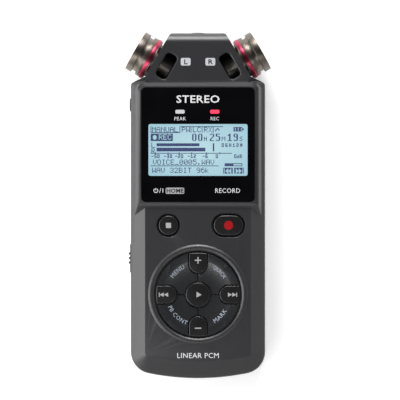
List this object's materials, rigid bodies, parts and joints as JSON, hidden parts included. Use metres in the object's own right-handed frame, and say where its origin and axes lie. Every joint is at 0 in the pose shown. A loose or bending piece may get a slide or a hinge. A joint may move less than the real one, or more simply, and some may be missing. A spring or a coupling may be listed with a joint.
{
  "type": "handheld voice recorder",
  "caption": "Handheld stereo voice recorder with angled metal microphones, a backlit display, a round key pad, a record key, headphone and line sockets and a battery door.",
  "frame": {"origin": "middle of the flat back, on the surface that the recorder lies on", "axes": "+Z out of the display side, +Y towards the microphones, +X to the right of the display"},
  "size_m": [0.0596, 0.1413, 0.0254],
  "materials": {
    "case": "fine spark texture",
    "head": "fine spark texture",
    "lens": "polished, clear over the display",
    "lcd": "backlit liquid-crystal display",
    "white_plastic": "moulded",
    "light_guide": "moulded translucent",
    "key": "satin",
    "inner_plastic": "moulded",
    "switch_metal": "stamped",
    "circuit_board": "solder mask",
    "jack": "moulded",
    "port_steel": "stamped, nickel plated",
    "cell": "film wrapped",
    "screw": "black oxide",
    "brass": "turned",
    "speaker_metal": "stamped",
    "mic_metal": "turned, nickel plated",
    "red_ring": "anodised",
    "grille": "woven mesh",
    "capsule": "moulded"
  },
  "bodies": {
    "case": {"front_case": "case", "rear_case": "case", "head_front": "head", "head_rear": "head", "display_window": "lens", "lcd_glass": "lcd", "lcd_backlight": "white_plastic", "peak_light_guide": "light_guide", "record_light_guide": "light_guide", "indicator_leds": "white_plastic", "key_guide": "inner_plastic", "key_switches": "switch_metal", "main_board": "circuit_board", "hold_switch_body": "inner_plastic", "phones_jack": "jack", "line_in_jack": "jack", "usb_socket": "port_steel", "card_socket": "port_steel", "battery_cradle": "inner_plastic", "left_battery_cell": "cell", "right_battery_cell": "cell", "battery_contacts": "port_steel", "battery_springs": "port_steel", "case_screws": "screw", "tripod_insert": "brass", "speaker": "speaker_metal", "left_mic_cap": "mic_metal", "left_mic_base_ring": "mic_metal", "left_mic_barrel": "mic_metal", "left_mic_red_ring": "red_ring", "left_mic_grille": "grille", "left_mic_capsule": "capsule", "right_mic_cap": "mic_metal", "right_mic_base_ring": "mic_metal", "right_mic_barrel": "mic_metal", "right_mic_red_ring": "red_ring", "right_mic_grille": "grille", "right_mic_capsule": "capsule"},
    "stop_key": {"stop_key": "key"},
    "record_key": {"record_key": "key"},
    "play_key": {"play_key": "key"},
    "plus_key": {"plus_key": "key"},
    "minus_key": {"minus_key": "key"},
    "previous_key": {"previous_key": "key"},
    "next_key": {"next_key": "key"},
    "menu_key": {"menu_key": "key"},
    "quick_key": {"quick_key": "key"},
    "playback_key": {"playback_key": "key"},
    "mark_key": {"mark_key": "key"},
    "hold_switch": {"hold_switch": "key"},
    "battery_door": {"battery_door": "case"},
    "card_cover": {"card_cover": "case"}
  },
  "joints": [
    {"name": "stop_key_press", "type": "slide", "parent": "case", "child": "stop_key", "axis": [0, 0, -1], "range_m": [0, 0.00035], "stiffness_N_per_m": 600},
    {"name": "record_key_press", "type": "slide", "parent": "case", "child": "record_key", "axis": [0, 0, -1], "range_m": [0, 0.00035], "stiffness_N_per_m": 600},
    {"name": "play_key_press", "type": "slide", "parent": "case", "child": "play_key", "axis": [0, 0, -1], "range_m": [0, 0.00035], "stiffness_N_per_m": 600},
    {"name": "plus_key_press", "type": "slide", "parent": "case", "child": "plus_key", "axis": [0, 0, -1], "range_m": [0, 0.00035], "stiffness_N_per_m": 600},
    {"name": "minus_key_press", "type": "slide", "parent": "case", "child": "minus_key", "axis": [0, 0, -1], "range_m": [0, 0.00035], "stiffness_N_per_m": 600},
    {"name": "previous_key_press", "type": "slide", "parent": "case", "child": "previous_key", "axis": [0, 0, -1], "range_m": [0, 0.00035], "stiffness_N_per_m": 600},
    {"name": "next_key_press", "type": "slide", "parent": "case", "child": "next_key", "axis": [0, 0, -1], "range_m": [0, 0.00035], "stiffness_N_per_m": 600},
    {"name": "menu_key_press", "type": "slide", "parent": "case", "child": "menu_key", "axis": [0, 0, -1], "range_m": [0, 0.00035], "stiffness_N_per_m": 600},
    {"name": "quick_key_press", "type": "slide", "parent": "case", "child": "quick_key", "axis": [0, 0, -1], "range_m": [0, 0.00035], "stiffness_N_per_m": 600},
    {"name": "playback_key_press", "type": "slide", "parent": "case", "child": "playback_key", "axis": [0, 0, -1], "range_m": [0, 0.00035], "stiffness_N_per_m": 600},
    {"name": "mark_key_press", "type": "slide", "parent": "case", "child": "mark_key", "axis": [0, 0, -1], "range_m": [0, 0.00035], "stiffness_N_per_m": 600},
    {"name": "hold_switch_slide", "type": "slide", "parent": "case", "child": "hold_switch", "axis": [0, 1, 0], "range_m": [0, 0.0025]},
    {"name": "battery_door_slide", "type": "slide", "parent": "case", "child": "battery_door", "axis": [0, -1, 0], "range_m": [0, 0.006]},
    {"name": "card_cover_hinge", "type": "hinge", "parent": "case", "child": "card_cover", "pos_m": [0.02675, -0.0029, 0.0153], "axis": [0, 0, -1], "range_deg": [0, 95]}
  ]
}
